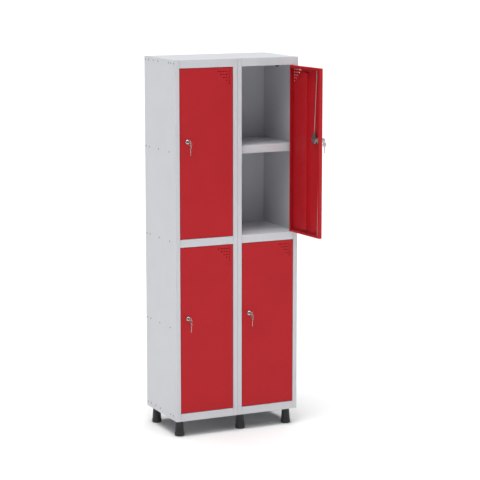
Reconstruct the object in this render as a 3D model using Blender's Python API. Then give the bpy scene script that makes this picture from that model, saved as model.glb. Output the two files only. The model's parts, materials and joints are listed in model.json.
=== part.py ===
"""Steel locker cabinet: two modules side by side, two compartments in each, four hinged doors.

Every length is in metres. The cabinet's body frame has X to the right from the body's front left corner,
Y back from the front face, and Z up from the body's underside. The scene's origin is the centre of the
front left foot's underside.
"""

import math

import bmesh
import bpy
from mathutils import Matrix, Vector

# Overall sizes of the body
BODY_WIDTH = 0.690
BODY_DEPTH = 0.3975
BODY_HEIGHT = 1.854
MODULES = 2
MODULE_GAP = 0.0006
FOOT_HEIGHT = 0.085

# Sheet metal
SHEET = 0.0009
CLEARANCE = 0.0003
BEND_RADIUS = 0.002
BEND_STEPS = 3
STILE_WIDTH = 0.024
RAIL_HEIGHT = 0.040
MIDDLE_RAIL_BOTTOM = 0.907
REAR_FLANGE = 0.015
TRAY_FLANGE = 0.025
STOP_LIP = 0.008
STOP_GAP = 0.0006
STOP_END_GAP = 0.020
TRAY_RETURN_GAP = 0.0005

# Inner shelf
SHELF_HEIGHT = 0.458
SHELF_SETBACK = 0.036
SHELF_LIP = 0.040
SHELF_RETURN = 0.012

# Feet, placed from the cabinet's outer edges and from the seam between the modules
FOOT_INSET_LEFT = 0.035
FOOT_INSET_RIGHT = 0.041
FOOT_INSET_SEAM = 0.036
FOOT_INSET_FRONT = 0.049
FOOT_INSET_REAR = 0.049
FOOT_TOP_RADIUS = 0.0195
FOOT_CONE_RADIUS = 0.0235
FOOT_RING_RADIUS = 0.02525
FOOT_RING_HEIGHT = 0.019
FOOT_EDGE_RADIUS = 0.003
FOOT_RETURN_DEPTH = 0.075

# Doors
DOOR_GAP = 0.002
DOOR_THICKNESS = 0.018
DOOR_LIP = 0.012
HINGE_INSET = 0.005
HINGE_DEPTH = 0.005
PIN_RADIUS = 0.002
PIN_LENGTH = 0.008
COLLAR_RADIUS = 0.004
PIN_CLEARANCE = 0.0004
OPEN_DOOR_DEGREES = 94.0

# Door perforations: rows that get shorter by one hole, lined up at the hinge side
HOLE_RADIUS = 0.003
HOLE_PITCH = 0.015
HOLE_ROWS = 5
HOLE_SIDE_INSET = 0.020
HOLE_TOP_INSET = 0.020

# Door stiffener
STIFFENER_WIDTH = 0.053
STIFFENER_CROWN = 0.030
STIFFENER_TOP = 0.0159
STIFFENER_END_GAP = 0.030

# Lock
LOCK_INSET = 0.040
LOCK_BELOW_TOP = 0.368
BEZEL_RADIUS = 0.011
BEZEL_HEIGHT = 0.004
BEZEL_CHAMFER = 0.0008
BARREL_RADIUS = 0.008
BARREL_REACH = 0.009
PLUG_RADIUS = 0.006
SPINDLE_RADIUS = 0.004
CAM_THICKNESS = 0.002
CAM_GAP = 0.0008
CAM_HALF_WIDTH = 0.005
CAM_PIN_ORBIT = 0.014
CAM_PIN_RADIUS = 0.002
CAM_REST_DEGREES = -45.0

# Locking rods
ROD_WIDTH = 0.008
ROD_FRONT = 0.0095
ROD_THICKNESS = 0.003
ROD_INSIDE_DOOR = 0.0005
ROD_STRAIGHT = 0.040
ROD_PLATE_WALL = 0.0018
SLOT_PLAY = 0.0006
UPPER_ROD_OFFSET = 0.0
UPPER_PLATE_APEX = (0.020, 0.060)
UPPER_PLATE_REACH = 0.050
UPPER_PLATE_DROP = 0.016
UPPER_PLATE_EDGE = 0.008
LOWER_ROD_OFFSET = -0.015
LOWER_PLATE_NECK = (-0.022, -0.020)
LOWER_PLATE_REACH = 0.016
ROD_HOLE_PLAY = 0.0004

# Key, key ring and spare key
KEY_THICKNESS = 0.002
KEY_BLADE_HEIGHT = 0.008
KEY_INSIDE = 0.007
KEY_BOW_RADIUS = 0.012
KEY_BOW_CENTRE = 0.030
KEY_HOLE_OFFSET = 0.007
KEY_HOLE_RADIUS = 0.0012
RING_RADIUS = 0.008
RING_WIRE_RADIUS = 0.00075
SPARE_BOW_RADIUS = 0.011
SPARE_BOW_DROP = 0.007
SPARE_BLADE_WIDTH = 0.008
SPARE_TIP_WIDTH = 0.005
SPARE_DROP = 0.065

# Garment hook
HOOK_INSET_RIGHT = 0.083
HOOK_DEPTH = 0.075
HOOK_DROP = 0.054
HOOK_WIRE_RADIUS = 0.004
HOOK_BEND_RADIUS = 0.012
HOOK_TIP_RISE = 0.010
HOOK_PLATE_RADIUS = 0.012
HOOK_PLATE_THICKNESS = 0.003

# Bolts that join the two modules
BOLT_RADIUS = 0.003
BOLT_HEAD_RADIUS = 0.0055
BOLT_HEAD_HEIGHT = 0.0035
BOLT_INSET_REAR = 0.080
BOLT_HEIGHTS = (0.150, 1.700)

# Sizes that follow from the ones above
MODULE_WIDTH = (BODY_WIDTH - MODULE_GAP * (MODULES - 1)) / MODULES
MODULE_STEP = MODULE_WIDTH + MODULE_GAP
STILE_RETURN = DOOR_THICKNESS + STOP_GAP + SHEET
OPENING_BOTTOMS = (RAIL_HEIGHT, MIDDLE_RAIL_BOTTOM + RAIL_HEIGHT)
OPENING_TOPS = (MIDDLE_RAIL_BOTTOM, BODY_HEIGHT - RAIL_HEIGHT)
DOOR_WIDTH = MODULE_WIDTH - 2 * (STILE_WIDTH + DOOR_GAP)
HINGE_X = MODULE_WIDTH - STILE_WIDTH - DOOR_GAP - HINGE_INSET
DOOR_LEFT = HINGE_INSET - DOOR_WIDTH
LOCK_X = DOOR_LEFT + LOCK_INSET
SKIN_Y = -HINGE_DEPTH
PANEL_TOP = BODY_HEIGHT - SHEET - CLEARANCE
INNER_LEFT = SHEET + CLEARANCE
INNER_RIGHT = MODULE_WIDTH - SHEET - CLEARANCE
RAIL_LEFT = STILE_WIDTH + CLEARANCE
RAIL_RIGHT = MODULE_WIDTH - STILE_WIDTH - CLEARANCE
TRAY_FRONT = STILE_RETURN + CLEARANCE
FRONT_RETURN = STILE_RETURN + TRAY_RETURN_GAP
BACK_INNER = BODY_DEPTH - 2 * SHEET - CLEARANCE
TRAY_REAR = BACK_INNER - CLEARANCE
SLOT_SHIFT = CAM_PIN_ORBIT * math.sin(math.radians(-CAM_REST_DEGREES))
CAM_FRONT = ROD_FRONT + ROD_THICKNESS + CAM_GAP
CAM_BACK = CAM_FRONT + CAM_THICKNESS
PAST = 0.002
WELD_DISTANCE = 0.000002

COLUMN_NAMES = ("left", "right")
ROW_NAMES = ("lower", "upper")
OPEN_DOOR = ("right", "upper")


def clear_scene():
    for old in list(bpy.data.objects):
        bpy.data.objects.remove(old, do_unlink=True)


def make_material(name, colour, roughness, metallic):
    material = bpy.data.materials.new(name)
    material.use_nodes = True
    shader = material.node_tree.nodes["Principled BSDF"]
    shader.inputs["Base Color"].default_value = (*colour, 1.0)
    shader.inputs["Roughness"].default_value = roughness
    shader.inputs["Metallic"].default_value = metallic
    return material


def make_materials():
    return {
        "grey_paint": make_material("grey_paint", (0.58, 0.60, 0.63), 0.45, 0.0),
        "red_paint": make_material("red_paint", (0.43, 0.027, 0.033), 0.42, 0.0),
        "black_plastic": make_material("black_plastic", (0.02, 0.021, 0.022), 0.5, 0.0),
        "chrome": make_material("chrome", (0.75, 0.75, 0.76), 0.18, 1.0),
        "zinc_steel": make_material("zinc_steel", (0.6, 0.6, 0.6), 0.35, 1.0),
        "nickel_brass": make_material("nickel_brass", (0.66, 0.64, 0.58), 0.28, 1.0),
    }


def new_empty(name, location, parent=None, turn_z=0.0):
    empty = bpy.data.objects.new(name, None)
    bpy.context.scene.collection.objects.link(empty)
    empty.location = location
    empty.rotation_euler = (0.0, 0.0, turn_z)
    empty.parent = parent
    return empty


def new_part(name, mesh, material, parent, location=(0.0, 0.0, 0.0)):
    mesh.materials.clear()
    mesh.materials.append(material)
    part = bpy.data.objects.new(name, mesh)
    bpy.context.scene.collection.objects.link(part)
    part.location = location
    part.parent = parent
    return part


def finish_mesh(name, shape):
    bmesh.ops.recalc_face_normals(shape, faces=shape.faces)
    mesh = bpy.data.meshes.new(name)
    shape.to_mesh(mesh)
    shape.free()
    return mesh


def box_mesh(low, high, radius=0.0, steps=BEND_STEPS):
    """A box between two corners, with every edge rounded when a radius is given."""
    shape = bmesh.new()
    size = Vector(high) - Vector(low)
    middle = (Vector(high) + Vector(low)) / 2
    matrix = Matrix.Translation(middle) @ Matrix.Diagonal((*size, 1.0))
    bmesh.ops.create_cube(shape, size=1.0, matrix=matrix)
    if radius:
        bmesh.ops.bevel(
            shape, geom=shape.edges[:], offset=radius, segments=steps, profile=0.5, affect="EDGES"
        )
    return finish_mesh("box", shape)


def joined_boxes_mesh(boxes):
    """The union of boxes whose sides lie along the axes, as one closed surface."""
    lines = [sorted({round(corner[axis], 7) for box in boxes for corner in box}) for axis in range(3)]
    filled = set()
    for low, high in boxes:
        first = [lines[axis].index(round(low[axis], 7)) for axis in range(3)]
        last = [lines[axis].index(round(high[axis], 7)) for axis in range(3)]
        for i in range(first[0], last[0]):
            for j in range(first[1], last[1]):
                for k in range(first[2], last[2]):
                    filled.add((i, j, k))
    shape = bmesh.new()
    points = {}

    def point(cell):
        if cell not in points:
            points[cell] = shape.verts.new([lines[axis][cell[axis]] for axis in range(3)])
        return points[cell]

    for cell in sorted(filled):
        for axis in range(3):
            for side in (0, 1):
                beyond = list(cell)
                beyond[axis] += 1 if side else -1
                if tuple(beyond) in filled:
                    continue
                corners = []
                for a, b in ((0, 0), (1, 0), (1, 1), (0, 1)):
                    corner = list(cell)
                    corner[axis] += side
                    corner[(axis + 1) % 3] += a
                    corner[(axis + 2) % 3] += b
                    corners.append(point(tuple(corner)))
                shape.faces.new(corners if side else corners[::-1])
    bmesh.ops.dissolve_limit(
        shape, angle_limit=math.radians(1), verts=shape.verts[:], edges=shape.edges[:]
    )
    return finish_mesh("joined_boxes", shape)


def prisms_mesh(outlines, low, high, axes):
    """Outlines pushed through from low to high. axes names the outlines' two axes and the third one."""
    shape = bmesh.new()
    for outline in outlines:
        ends = []
        for level in (low, high):
            ring = []
            for a, b in outline:
                place = [0.0, 0.0, 0.0]
                place[axes[0]] = a
                place[axes[1]] = b
                place[axes[2]] = level
                ring.append(shape.verts.new(place))
            ends.append(ring)
        count = len(outline)
        shape.faces.new(ends[0][::-1])
        shape.faces.new(ends[1])
        for i in range(count):
            j = (i + 1) % count
            shape.faces.new((ends[0][i], ends[0][j], ends[1][j], ends[1][i]))
    return finish_mesh("prisms", shape)


def prism_mesh(outline, low, high, axes):
    return prisms_mesh([outline], low, high, axes)


def bent_outline(corners):
    """The outline of a bent sheet, from the corners of the line through the middle of its thickness."""
    middle_radius = BEND_RADIUS - SHEET / 2
    line = [(Vector(corners[0]), (Vector(corners[1]) - Vector(corners[0])).normalized())]
    for before, corner, after in zip(corners, corners[1:], corners[2:]):
        ahead = (Vector(corner) - Vector(before)).normalized()
        onward = (Vector(after) - Vector(corner)).normalized()
        turn = math.atan2(ahead.x * onward.y - ahead.y * onward.x, ahead.dot(onward))
        start = Vector(corner) - ahead * middle_radius * math.tan(abs(turn) / 2)
        side = Vector((-ahead.y, ahead.x)) * math.copysign(1.0, turn)
        centre = start + side * middle_radius
        for step in range(BEND_STEPS + 1):
            angle = turn * step / BEND_STEPS
            spoke = Matrix.Rotation(angle, 2) @ (start - centre)
            line.append((centre + spoke, Matrix.Rotation(angle, 2) @ ahead))
    line.append((Vector(corners[-1]), (Vector(corners[-1]) - Vector(corners[-2])).normalized()))
    sides = []
    for sign in (1, -1):
        sides.append([tuple(p + Vector((-d.y, d.x)) * sign * SHEET / 2) for p, d in line])
    return sides[0] + sides[1][::-1]


def circle_outline(radius, centre=(0.0, 0.0), steps=24):
    turns = [2 * math.pi * i / steps for i in range(steps)]
    return [(centre[0] + radius * math.cos(t), centre[1] + radius * math.sin(t)) for t in turns]


def turned_mesh(profile, steps=24):
    """A closed profile of (radius, height) turned about Z. A radius of 0 lies on the axis."""
    shape = bmesh.new()
    rings = []
    for radius, height in profile:
        if radius == 0.0:
            rings.append([shape.verts.new((0.0, 0.0, height))] * steps)
            continue
        circle = circle_outline(radius, steps=steps)
        rings.append([shape.verts.new((x, y, height)) for x, y in circle])
    for first, second in zip(rings, rings[1:] + rings[:1]):
        for i in range(steps):
            j = (i + 1) % steps
            corners = []
            for corner in (first[i], first[j], second[j], second[i]):
                if corner not in corners:
                    corners.append(corner)
            if len(corners) > 2:
                shape.faces.new(corners)
    mesh = finish_mesh("turned", shape)
    mesh.shade_smooth()
    return mesh


def tube_mesh(path, radius, closed=False, steps=10):
    """A round wire along a flat path in the XZ plane."""
    shape = bmesh.new()
    rings = []
    count = len(path)
    for i, place in enumerate(path):
        before = path[i - 1] if closed or i else place
        after = path[(i + 1) % count] if closed or i < count - 1 else place
        ahead = (Vector(after) - Vector(before)).normalized()
        side = Vector((-ahead.z, 0.0, ahead.x))
        ring = []
        for x, y in circle_outline(radius, steps=steps):
            ring.append(shape.verts.new(Vector(place) + side * x + Vector((0.0, 1.0, 0.0)) * y))
        rings.append(ring)
    pairs = list(zip(rings, rings[1:]))
    if closed:
        pairs.append((rings[-1], rings[0]))
    else:
        shape.faces.new(rings[0])
        shape.faces.new(rings[-1])
    for first, second in pairs:
        for i in range(steps):
            j = (i + 1) % steps
            shape.faces.new((first[i], first[j], second[j], second[i]))
    mesh = finish_mesh("tube", shape)
    mesh.shade_smooth()
    return mesh


def moved(mesh, matrix):
    mesh.transform(matrix)
    return mesh


def combined(base, operation, others):
    """The mesh of a Boolean between a mesh and each of the others in turn."""
    body = bpy.data.objects.new("boolean_body", base)
    bpy.context.scene.collection.objects.link(body)
    tools = []
    for other in others:
        tool = bpy.data.objects.new("boolean_tool", other)
        bpy.context.scene.collection.objects.link(tool)
        modifier = body.modifiers.new("combine", "BOOLEAN")
        modifier.operation = operation
        modifier.solver = "EXACT"
        modifier.object = tool
        tools.append(tool)
    graph = bpy.context.evaluated_depsgraph_get()
    result = bpy.data.meshes.new_from_object(body.evaluated_get(graph))
    for old in [body, *tools]:
        bpy.data.objects.remove(old, do_unlink=True)
    shape = bmesh.new()
    shape.from_mesh(result)
    bmesh.ops.remove_doubles(shape, verts=shape.verts, dist=WELD_DISTANCE)
    shape.to_mesh(result)
    shape.free()
    return result


def along_y(mesh):
    """Turns a piece made about Z so that its height runs along +Y."""
    return moved(mesh, Matrix.Rotation(math.radians(-90), 4, "X"))


def pin_hole(level):
    """Cutter for a hinge pin through a level sheet of a module."""
    radius = PIN_RADIUS + PIN_CLEARANCE
    outline = circle_outline(radius, (HINGE_X, HINGE_DEPTH), 16)
    return prism_mesh(outline, level - PAST, level + PAST, (0, 1, 2))


def rod_hole(level, offset, x_origin=0.0, y_origin=0.0):
    """Cutter for a locking rod through a level sheet."""
    middle = x_origin + LOCK_X + offset
    half = ROD_WIDTH / 2 + ROD_HOLE_PLAY
    front = y_origin + ROD_FRONT - ROD_HOLE_PLAY
    back = y_origin + ROD_FRONT + ROD_THICKNESS + ROD_HOLE_PLAY
    return box_mesh((middle - half, front, level - PAST), (middle + half, back, level + PAST))


def side_panel_mesh(has_stop):
    """A module's left side panel, seen from the front; the right one is its mirror image."""
    half = SHEET / 2
    corners = (
        (REAR_FLANGE, BODY_DEPTH - half),
        (half, BODY_DEPTH - half),
        (half, half),
        (STILE_WIDTH - half, half),
        (STILE_WIDTH - half, STILE_RETURN),
    )
    panel = prism_mesh(bent_outline(corners), 0.0, PANEL_TOP, (0, 1, 2))
    if not has_stop:
        return panel
    lips = []
    for bottom, top in zip(OPENING_BOTTOMS, OPENING_TOPS):
        low = (STILE_WIDTH - half, STILE_RETURN - SHEET, bottom + STOP_END_GAP)
        high = (STILE_WIDTH + STOP_LIP, STILE_RETURN, top - STOP_END_GAP)
        lips.append(box_mesh(low, high))
    return combined(panel, "UNION", lips)


def bolt_holes(x):
    """One cutter for the holes of the bolts that join the modules."""
    y = BODY_DEPTH - BOLT_INSET_REAR
    radius = BOLT_RADIUS + CLEARANCE
    outlines = [circle_outline(radius, (y, height), 16) for height in BOLT_HEIGHTS]
    return prisms_mesh(outlines, x - PAST, x + PAST, (1, 2, 0))


def make_side_panels(column, root, x, material):
    left = side_panel_mesh(has_stop=True)
    right = side_panel_mesh(has_stop=False)
    right.transform(Matrix.Translation((MODULE_WIDTH, 0, 0)) @ Matrix.Scale(-1, 4, (1, 0, 0)))
    right.flip_normals()
    if column == 0:
        right = combined(right, "DIFFERENCE", [bolt_holes(MODULE_WIDTH)])
    else:
        left = combined(left, "DIFFERENCE", [bolt_holes(0.0)])
    name = COLUMN_NAMES[column]
    new_part(f"{name}_module_left_side_panel", left, material, root, (x, 0, 0))
    new_part(f"{name}_module_right_side_panel", right, material, root, (x, 0, 0))


def make_back_panel(column, root, x, material):
    inset = BEND_RADIUS + CLEARANCE
    low = (inset, BACK_INNER, 0.0)
    high = (MODULE_WIDTH - inset, BACK_INNER + SHEET, PANEL_TOP)
    mesh = box_mesh(low, high)
    new_part(f"{COLUMN_NAMES[column]}_module_back_panel", mesh, material, root, (x, 0, 0))


def tray_flanges(bottom, top):
    """The flanges at the sides and the rear of a level tray."""
    return [
        ((INNER_LEFT, TRAY_FRONT, bottom), (INNER_LEFT + SHEET, TRAY_REAR, top)),
        ((INNER_RIGHT - SHEET, TRAY_FRONT, bottom), (INNER_RIGHT, TRAY_REAR, top)),
        ((INNER_LEFT, TRAY_REAR - SHEET, bottom), (INNER_RIGHT, TRAY_REAR, top)),
    ]


def front_rail(bottom, top):
    """The rail between the stiles, with the return along its lower edge."""
    return [
        ((RAIL_LEFT, 0.0, bottom), (RAIL_RIGHT, SHEET, top)),
        ((RAIL_LEFT, 0.0, bottom), (RAIL_RIGHT, FRONT_RETURN, bottom + SHEET)),
    ]


def make_top_panel(column, root, x, material):
    rail_bottom = BODY_HEIGHT - RAIL_HEIGHT
    boxes = [((0.0, 0.0, BODY_HEIGHT - SHEET), (MODULE_WIDTH, BODY_DEPTH, BODY_HEIGHT))]
    boxes += front_rail(rail_bottom, BODY_HEIGHT)
    boxes += tray_flanges(BODY_HEIGHT - TRAY_FLANGE, BODY_HEIGHT)
    cutters = [pin_hole(rail_bottom), rod_hole(rail_bottom, UPPER_ROD_OFFSET, HINGE_X)]
    mesh = combined(joined_boxes_mesh(boxes), "DIFFERENCE", cutters)
    new_part(f"{COLUMN_NAMES[column]}_module_top_panel", mesh, material, root, (x, 0, 0))


def floor_boxes(top):
    """A floor sheet with its front part narrowed to pass between the stiles."""
    return [
        ((RAIL_LEFT, 0.0, top - SHEET), (RAIL_RIGHT, TRAY_REAR, top)),
        ((INNER_LEFT, TRAY_FRONT, top - SHEET), (INNER_RIGHT, TRAY_REAR, top)),
    ]


def make_middle_floor(column, root, x, material):
    bottom = MIDDLE_RAIL_BOTTOM
    top = MIDDLE_RAIL_BOTTOM + RAIL_HEIGHT
    boxes = floor_boxes(top) + front_rail(bottom, top) + tray_flanges(top - TRAY_FLANGE, top)
    cutters = [pin_hole(bottom), rod_hole(bottom, UPPER_ROD_OFFSET, HINGE_X)]
    cutters += [pin_hole(top), rod_hole(top, LOWER_ROD_OFFSET, HINGE_X)]
    mesh = combined(joined_boxes_mesh(boxes), "DIFFERENCE", cutters)
    new_part(f"{COLUMN_NAMES[column]}_module_middle_floor", mesh, material, root, (x, 0, 0))


def make_base(column, root, x, material):
    top = RAIL_HEIGHT
    boxes = floor_boxes(top) + front_rail(0.0, top) + tray_flanges(0.0, top)
    boxes.append(((INNER_LEFT, TRAY_FRONT, 0.0), (INNER_RIGHT, FOOT_RETURN_DEPTH, SHEET)))
    rear = BODY_DEPTH - FOOT_RETURN_DEPTH
    boxes.append(((INNER_LEFT, rear, 0.0), (INNER_RIGHT, TRAY_REAR, SHEET)))
    cutters = [pin_hole(top), rod_hole(top, LOWER_ROD_OFFSET, HINGE_X)]
    mesh = combined(joined_boxes_mesh(boxes), "DIFFERENCE", cutters)
    new_part(f"{COLUMN_NAMES[column]}_module_base", mesh, material, root, (x, 0, 0))


def make_shelf(column, row, root, x, material):
    top = OPENING_BOTTOMS[row] + SHELF_HEIGHT
    front = SHELF_SETBACK
    lip_bottom = top - SHELF_LIP
    boxes = [
        ((INNER_LEFT, front, top - SHEET), (INNER_RIGHT, TRAY_REAR, top)),
        ((INNER_LEFT, front, lip_bottom), (INNER_RIGHT, front + SHEET, top)),
        ((INNER_LEFT, front, lip_bottom), (INNER_RIGHT, front + SHELF_RETURN, lip_bottom + SHEET)),
        ((INNER_LEFT, front, top - TRAY_FLANGE), (INNER_LEFT + SHEET, TRAY_REAR, top)),
        ((INNER_RIGHT - SHEET, front, top - TRAY_FLANGE), (INNER_RIGHT, TRAY_REAR, top)),
        ((INNER_LEFT, TRAY_REAR - SHEET, top - TRAY_FLANGE), (INNER_RIGHT, TRAY_REAR, top)),
    ]
    name = f"{COLUMN_NAMES[column]}_{ROW_NAMES[row]}_inner_shelf"
    new_part(name, joined_boxes_mesh(boxes), material, root, (x, 0, 0))


def make_feet(root, material):
    profile = [
        (0.0, -FOOT_HEIGHT),
        (FOOT_RING_RADIUS - FOOT_EDGE_RADIUS, -FOOT_HEIGHT),
        (FOOT_RING_RADIUS, -FOOT_HEIGHT + FOOT_EDGE_RADIUS),
        (FOOT_RING_RADIUS, -FOOT_HEIGHT + FOOT_RING_HEIGHT),
        (FOOT_CONE_RADIUS, -FOOT_HEIGHT + FOOT_RING_HEIGHT),
        (FOOT_TOP_RADIUS, -CLEARANCE),
        (0.0, -CLEARANCE),
    ]
    columns = {
        "left": FOOT_INSET_LEFT,
        "middle": MODULE_STEP + FOOT_INSET_SEAM,
        "right": BODY_WIDTH - FOOT_INSET_RIGHT,
    }
    rows = {"front": FOOT_INSET_FRONT, "rear": BODY_DEPTH - FOOT_INSET_REAR}
    for column, x in columns.items():
        for row, y in rows.items():
            new_part(f"{row}_{column}_foot", turned_mesh(profile), material, root, (x, y, 0))


def make_hook(column, row, root, x, material):
    ceiling = (MIDDLE_RAIL_BOTTOM + RAIL_HEIGHT, BODY_HEIGHT)[row] - SHEET - CLEARANCE
    bend = HOOK_BEND_RADIUS
    low = -HOOK_DROP + HOOK_WIRE_RADIUS + SHEET + CLEARANCE + bend
    path = [Vector((-bend, 0.0, -HOOK_PLATE_THICKNESS / 2))]
    for step in range(13):
        angle = math.pi * (1 + step / 12)
        path.append(Vector((bend * math.cos(angle), 0.0, low + bend * math.sin(angle))))
    path.append(Vector((bend, 0.0, low + HOOK_TIP_RISE)))
    wire = tube_mesh(path, HOOK_WIRE_RADIUS)
    plate = turned_mesh(
        [
            (0.0, -HOOK_PLATE_THICKNESS),
            (HOOK_PLATE_RADIUS, -HOOK_PLATE_THICKNESS),
            (HOOK_PLATE_RADIUS, 0.0),
            (0.0, 0.0),
        ]
    )
    moved(plate, Matrix.Translation((-bend, 0.0, 0.0)))
    mesh = combined(plate, "UNION", [wire])
    name = f"{COLUMN_NAMES[column]}_{ROW_NAMES[row]}_garment_hook"
    place = (x + MODULE_WIDTH - HOOK_INSET_RIGHT, HOOK_DEPTH, ceiling)
    new_part(name, mesh, material, root, place)


def make_joining_bolts(root, material):
    """Bolts through the two side panels that meet at the seam, each with its head and nut."""
    left = MODULE_WIDTH - SHEET - CLEARANCE
    right = MODULE_STEP + SHEET + CLEARANCE
    profile = [
        (0.0, left - BOLT_HEAD_HEIGHT),
        (BOLT_HEAD_RADIUS, left - BOLT_HEAD_HEIGHT),
        (BOLT_HEAD_RADIUS, left),
        (BOLT_RADIUS, left),
        (BOLT_RADIUS, right),
        (BOLT_HEAD_RADIUS, right),
        (BOLT_HEAD_RADIUS, right + BOLT_HEAD_HEIGHT),
        (0.0, right + BOLT_HEAD_HEIGHT),
    ]
    for name, height in zip(ROW_NAMES, BOLT_HEIGHTS):
        bolt = moved(turned_mesh(profile, 12), Matrix.Rotation(math.radians(90), 4, "Y"))
        place = (0.0, BODY_DEPTH - BOLT_INSET_REAR, height)
        new_part(f"{name}_module_joining_bolt", bolt, material, root, place)


def skin_holes(height):
    """One cutter for the vent holes and the lock's hole in a door's skin."""
    lock_place = (LOCK_X, height - LOCK_BELOW_TOP)
    outlines = [circle_outline(BARREL_RADIUS + CLEARANCE, lock_place)]
    for row in range(HOLE_ROWS):
        for column in range(HOLE_ROWS - row):
            x = HINGE_INSET - HOLE_SIDE_INSET - column * HOLE_PITCH
            z = height - HOLE_TOP_INSET - row * HOLE_PITCH
            outlines.append(circle_outline(HOLE_RADIUS, (x, z), 12))
    return prisms_mesh(outlines, SKIN_Y - PAST, SKIN_Y + PAST, (0, 2, 1))


def hinge_pins(height):
    """The top pin, and the bottom pin with the collar that carries the door."""
    top = turned_mesh(
        [
            (0.0, height - SHEET / 2),
            (PIN_RADIUS, height - SHEET / 2),
            (PIN_RADIUS, height + PIN_LENGTH),
            (0.0, height + PIN_LENGTH),
        ],
        16,
    )
    collar = -DOOR_GAP + CLEARANCE
    bottom = turned_mesh(
        [
            (0.0, -PIN_LENGTH),
            (PIN_RADIUS, -PIN_LENGTH),
            (PIN_RADIUS, collar),
            (COLLAR_RADIUS, collar),
            (COLLAR_RADIUS, SHEET / 2),
            (0.0, SHEET / 2),
        ],
        16,
    )
    return [top, bottom]


def door_pan_mesh(height):
    """A door as a shallow pan, in the frame of its hinge axis, with Z from its lower edge."""
    low = Vector((DOOR_LEFT, SKIN_Y, 0.0))
    high = Vector((HINGE_INSET, SKIN_Y + DOOR_THICKNESS, height))
    wall = Vector((SHEET, SHEET, SHEET))
    pan = box_mesh(low, high, BEND_RADIUS)
    cavity = box_mesh(low + wall, high - wall, BEND_RADIUS - SHEET)
    inset = SHEET + DOOR_LIP
    mouth_low = (low.x + inset, high.y - SHEET - PAST, low.z + inset)
    mouth_high = (high.x - inset, high.y + PAST, high.z - inset)
    cutters = [cavity, box_mesh(mouth_low, mouth_high), skin_holes(height)]
    cutters.append(rod_hole(height, UPPER_ROD_OFFSET, 0.0, SKIN_Y))
    cutters.append(rod_hole(0.0, LOWER_ROD_OFFSET, 0.0, SKIN_Y))
    return combined(combined(pan, "DIFFERENCE", cutters), "UNION", hinge_pins(height))


def stiffener_mesh(height):
    half = SHEET / 2
    middle = DOOR_LEFT + DOOR_WIDTH / 2
    flange = SKIN_Y + SHEET + CLEARANCE + half
    crown = SKIN_Y + STIFFENER_TOP - half
    corners = [
        (middle - STIFFENER_WIDTH / 2, flange),
        (middle - STIFFENER_CROWN / 2, flange),
        (middle - STIFFENER_CROWN / 2, crown),
        (middle + STIFFENER_CROWN / 2, crown),
        (middle + STIFFENER_CROWN / 2, flange),
        (middle + STIFFENER_WIDTH / 2, flange),
    ]
    top = height - STIFFENER_END_GAP
    return prism_mesh(bent_outline(corners), STIFFENER_END_GAP, top, (0, 1, 2))


def lock_cylinder_mesh():
    """The bezel and barrel, about the lock's axis, with Y from the door's outer face."""
    bore = PLUG_RADIUS + CLEARANCE
    profile = [
        (bore, -BEZEL_HEIGHT),
        (BEZEL_RADIUS - BEZEL_CHAMFER, -BEZEL_HEIGHT),
        (BEZEL_RADIUS, -BEZEL_HEIGHT + BEZEL_CHAMFER),
        (BEZEL_RADIUS, -CLEARANCE),
        (BARREL_RADIUS, -CLEARANCE),
        (BARREL_RADIUS, BARREL_REACH),
        (bore, BARREL_REACH),
    ]
    return along_y(turned_mesh(profile))


def lock_rotor_mesh():
    """The plug with its keyway, the spindle, the cam and its two pins."""
    plug_front = -BEZEL_HEIGHT + 2 * CLEARANCE
    shaft = along_y(
        turned_mesh(
            [
                (0.0, plug_front),
                (PLUG_RADIUS, plug_front),
                (PLUG_RADIUS, BARREL_REACH),
                (SPINDLE_RADIUS, BARREL_REACH),
                (SPINDLE_RADIUS, CAM_FRONT + CAM_THICKNESS / 2),
                (0.0, CAM_FRONT + CAM_THICKNESS / 2),
            ]
        )
    )
    outline = []
    reach = CAM_PIN_ORBIT
    for end in (0, 1):
        for step in range(9):
            angle = math.pi * (step / 8 - 0.5 + end)
            x = (reach if end == 0 else -reach) + CAM_HALF_WIDTH * math.cos(angle)
            outline.append((x, CAM_HALF_WIDTH * math.sin(angle)))
    cam = prism_mesh(outline, CAM_FRONT, CAM_BACK, (0, 2, 1))
    pins = []
    for x in (reach, -reach):
        circle = circle_outline(CAM_PIN_RADIUS, (x, 0.0), 12)
        pins.append(prism_mesh(circle, ROD_FRONT + CLEARANCE, CAM_FRONT + CAM_THICKNESS / 2, (0, 2, 1)))
    turn = Matrix.Rotation(math.radians(-CAM_REST_DEGREES), 4, "Y")
    link = moved(combined(cam, "UNION", pins), turn)
    half_x = KEY_THICKNESS / 2 + CLEARANCE
    half_z = KEY_BLADE_HEIGHT / 2 + CLEARANCE
    keyway = box_mesh((-half_x, plug_front - PAST, -half_z), (half_x, KEY_INSIDE + CLEARANCE, half_z))
    return combined(combined(shaft, "UNION", [link]), "DIFFERENCE", [keyway])


def key_mesh():
    half_x = KEY_THICKNESS / 2
    half_z = KEY_BLADE_HEIGHT / 2
    blade = box_mesh((-half_x, -KEY_BOW_CENTRE, -half_z), (half_x, KEY_INSIDE, half_z))
    bow = prism_mesh(circle_outline(KEY_BOW_RADIUS, (-KEY_BOW_CENTRE, 0.0)), -half_x, half_x, (1, 2, 0))
    place = (-KEY_BOW_CENTRE - KEY_HOLE_OFFSET, 0.0)
    hole = prism_mesh(circle_outline(KEY_HOLE_RADIUS, place, 16), -PAST, PAST, (1, 2, 0))
    return combined(combined(bow, "UNION", [blade]), "DIFFERENCE", [hole])


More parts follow.
